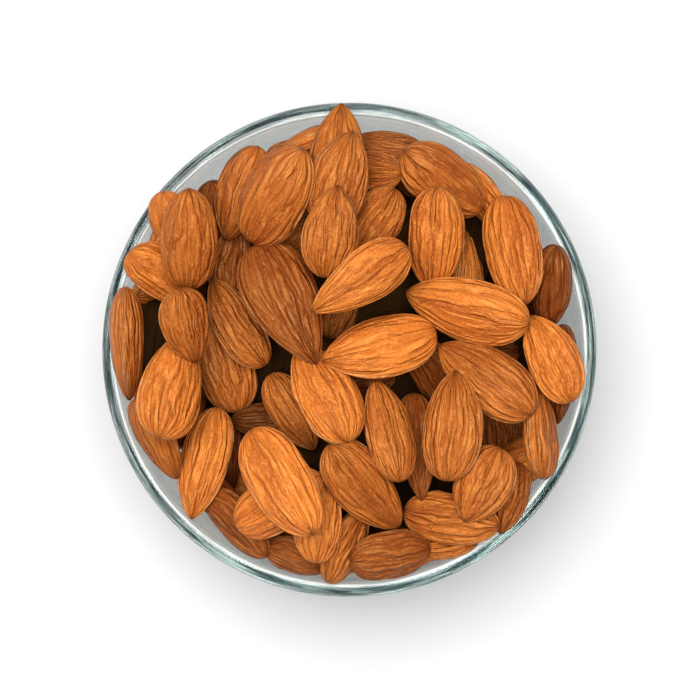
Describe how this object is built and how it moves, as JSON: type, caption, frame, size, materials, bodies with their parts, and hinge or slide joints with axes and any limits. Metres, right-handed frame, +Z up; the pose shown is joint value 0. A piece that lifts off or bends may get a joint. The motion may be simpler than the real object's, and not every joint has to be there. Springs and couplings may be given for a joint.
{
  "type": "bowl of almonds",
  "caption": "Round clear glass bowl heaped to above its rim with whole almonds in their ridged brown skins.",
  "frame": {"origin": "middle of the flat underside of the bowl", "axes": "+Z up out of the mouth of the bowl; +Y is the top of the picture, +X its right"},
  "size_m": [0.11, 0.11, 0.0683],
  "materials": {
    "clear_glass": "smooth clear pressed glass with a faint blue-green tint in its thickness",
    "almond_skin": "dry matt almond skin with fine lengthwise ridges and a dusty bloom"
  },
  "bodies": {
    "root": {"glass_bowl": "clear_glass", "almond_heap": "almond_skin"}
  },
  "joints": []
}
